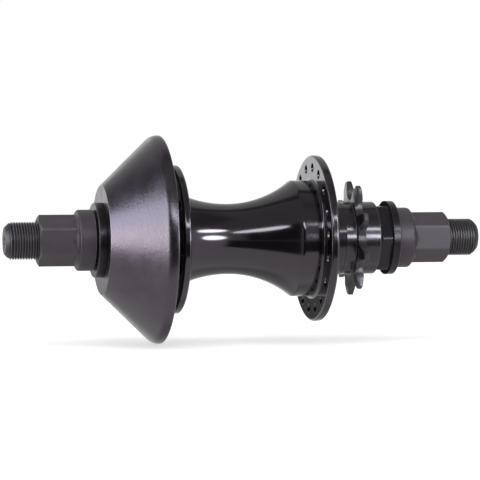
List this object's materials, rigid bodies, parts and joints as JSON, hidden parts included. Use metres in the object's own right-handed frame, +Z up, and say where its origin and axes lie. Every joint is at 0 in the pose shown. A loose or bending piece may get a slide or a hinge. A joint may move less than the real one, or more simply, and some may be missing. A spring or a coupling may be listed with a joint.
{
  "type": "bmx cassette hub",
  "caption": "Rear bicycle hub with a one-piece toothed driver, ratchet, sealed bearings, drilled flanges, solid axle with nuts, and a conical guard.",
  "frame": {"origin": "on the axle's axis, midway between the two faces that clamp the frame", "axes": "+Y along the axle to the side away from the chain, +Z up, +X the way the wheel rolls forward"},
  "size_m": [0.0782, 0.1828, 0.0782],
  "materials": {
    "axle_steel": "black oxide, satin",
    "nut_steel": "black, satin",
    "guard_satin": "satin dark grey coating, bare turned end face",
    "shell_gloss": "polished and black anodised, glossy",
    "driver_gloss": "black, semi-gloss",
    "tool_steel": "hardened, ground",
    "spring_steel": "bright",
    "bearing_steel": "polished",
    "spacer_alloy": "turned",
    "cage_nylon": "matt",
    "rubber": "matt"
  },
  "bodies": {
    "axle": {"axle": "axle_steel", "hub_guard": "guard_satin", "nds_cone_nut": "nut_steel", "ds_locknut": "nut_steel", "shell_driver_spacer": "spacer_alloy", "driver_bearing_spacer": "spacer_alloy", "nds_shell_bearing_inner_ring": "bearing_steel", "ds_shell_bearing_inner_ring": "bearing_steel", "inner_driver_bearing_inner_ring": "bearing_steel", "outer_driver_bearing_inner_ring": "bearing_steel"},
    "shell": {"hub_shell": "shell_gloss", "ratchet_ring": "tool_steel", "driver_seal": "rubber", "nds_shell_bearing_outer_ring": "bearing_steel", "nds_shell_bearing_seals": "rubber", "ds_shell_bearing_outer_ring": "bearing_steel", "ds_shell_bearing_seals": "rubber"},
    "driver": {"driver": "driver_gloss", "pawl_springs": "spring_steel", "inner_driver_bearing_outer_ring": "bearing_steel", "inner_driver_bearing_seals": "rubber", "outer_driver_bearing_outer_ring": "bearing_steel", "outer_driver_bearing_seals": "rubber"},
    "nds_shell_cage": {"nds_shell_bearing_balls": "bearing_steel", "nds_shell_bearing_cage": "cage_nylon"},
    "ds_shell_cage": {"ds_shell_bearing_balls": "bearing_steel", "ds_shell_bearing_cage": "cage_nylon"},
    "inner_driver_cage": {"inner_driver_bearing_balls": "bearing_steel", "inner_driver_bearing_cage": "cage_nylon"},
    "outer_driver_cage": {"outer_driver_bearing_balls": "bearing_steel", "outer_driver_bearing_cage": "cage_nylon"},
    "pawl_1": {"pawl_1": "tool_steel"},
    "pawl_2": {"pawl_2": "tool_steel"},
    "pawl_3": {"pawl_3": "tool_steel"},
    "pawl_4": {"pawl_4": "tool_steel"},
    "nds_washer": {"nds_nut_washer": "nut_steel"},
    "nds_nut": {"nds_axle_nut": "nut_steel"},
    "ds_washer": {"ds_nut_washer": "nut_steel"},
    "ds_nut": {"ds_axle_nut": "nut_steel"}
  },
  "joints": [
    {"name": "shell_spin", "type": "hinge", "parent": "axle", "child": "shell", "pos_m": [0, 0, 0], "axis": [0, 1, 0], "continuous": true},
    {"name": "driver_spin", "type": "hinge", "parent": "axle", "child": "driver", "pos_m": [0, -0.035, 0], "axis": [0, 1, 0], "continuous": true},
    {"name": "nds_shell_cage_orbit", "type": "hinge", "parent": "axle", "child": "nds_shell_cage", "pos_m": [0, 0.0255, 0], "axis": [0, 1, 0], "continuous": true},
    {"name": "ds_shell_cage_orbit", "type": "hinge", "parent": "axle", "child": "ds_shell_cage", "pos_m": [0, -0.0132, 0], "axis": [0, 1, 0], "continuous": true},
    {"name": "inner_driver_cage_orbit", "type": "hinge", "parent": "axle", "child": "inner_driver_cage", "pos_m": [0, -0.0218, 0], "axis": [0, 1, 0], "continuous": true},
    {"name": "outer_driver_cage_orbit", "type": "hinge", "parent": "axle", "child": "outer_driver_cage", "pos_m": [0, -0.0474, 0], "axis": [0, 1, 0], "continuous": true},
    {"name": "pawl_1_hinge", "type": "hinge", "parent": "driver", "child": "pawl_1", "pos_m": [-0.0035, -0.0222, 0.01407], "axis": [0, 1, 0], "range_deg": [0, 9], "stiffness_Nm_per_rad": 0.012, "springref_deg": -8.59, "deforming": ["pawl_springs"]},
    {"name": "pawl_2_hinge", "type": "hinge", "parent": "driver", "child": "pawl_2", "pos_m": [0.01407, -0.0222, 0.0035], "axis": [0, 1, 0], "range_deg": [0, 9], "stiffness_Nm_per_rad": 0.012, "springref_deg": -8.59},
    {"name": "pawl_3_hinge", "type": "hinge", "parent": "driver", "child": "pawl_3", "pos_m": [0.0035, -0.0222, -0.01407], "axis": [0, 1, 0], "range_deg": [0, 9], "stiffness_Nm_per_rad": 0.012, "springref_deg": -8.59},
    {"name": "pawl_4_hinge", "type": "hinge", "parent": "driver", "child": "pawl_4", "pos_m": [-0.01407, -0.0222, -0.0035], "axis": [0, 1, 0], "range_deg": [0, 9], "stiffness_Nm_per_rad": 0.012, "springref_deg": -8.59},
    {"name": "nds_washer_slide", "type": "slide", "parent": "axle", "child": "nds_washer", "axis": [0, 1, 0], "range_m": [0, 0.008]},
    {"name": "nds_nut_turn", "type": "hinge", "parent": "nds_washer", "child": "nds_nut", "pos_m": [0, 0.068, 0], "axis": [0, 1, 0], "range_deg": [0, 2880]},
    {"name": "ds_washer_slide", "type": "slide", "parent": "axle", "child": "ds_washer", "axis": [0, -1, 0], "range_m": [0, 0.008]},
    {"name": "ds_nut_turn", "type": "hinge", "parent": "ds_washer", "child": "ds_nut", "pos_m": [0, -0.068, 0], "axis": [0, -1, 0], "range_deg": [0, 2880]}
  ],
  "couplings": [
    {"joint": "nds_shell_cage_orbit", "follows": "shell_spin", "ratio": 0.59228},
    {"joint": "ds_shell_cage_orbit", "follows": "shell_spin", "ratio": 0.59228},
    {"joint": "inner_driver_cage_orbit", "follows": "driver_spin", "ratio": 0.56103},
    {"joint": "outer_driver_cage_orbit", "follows": "driver_spin", "ratio": 0.56103},
    {"joint": "pawl_2_hinge", "follows": "pawl_1_hinge", "ratio": 1},
    {"joint": "pawl_3_hinge", "follows": "pawl_1_hinge", "ratio": 1},
    {"joint": "pawl_4_hinge", "follows": "pawl_1_hinge", "ratio": 1},
    {"joint": "nds_nut_turn", "follows": "nds_washer_slide", "rad_per_m": 6283.2},
    {"joint": "ds_nut_turn", "follows": "ds_washer_slide", "rad_per_m": 6283.2}
  ]
}
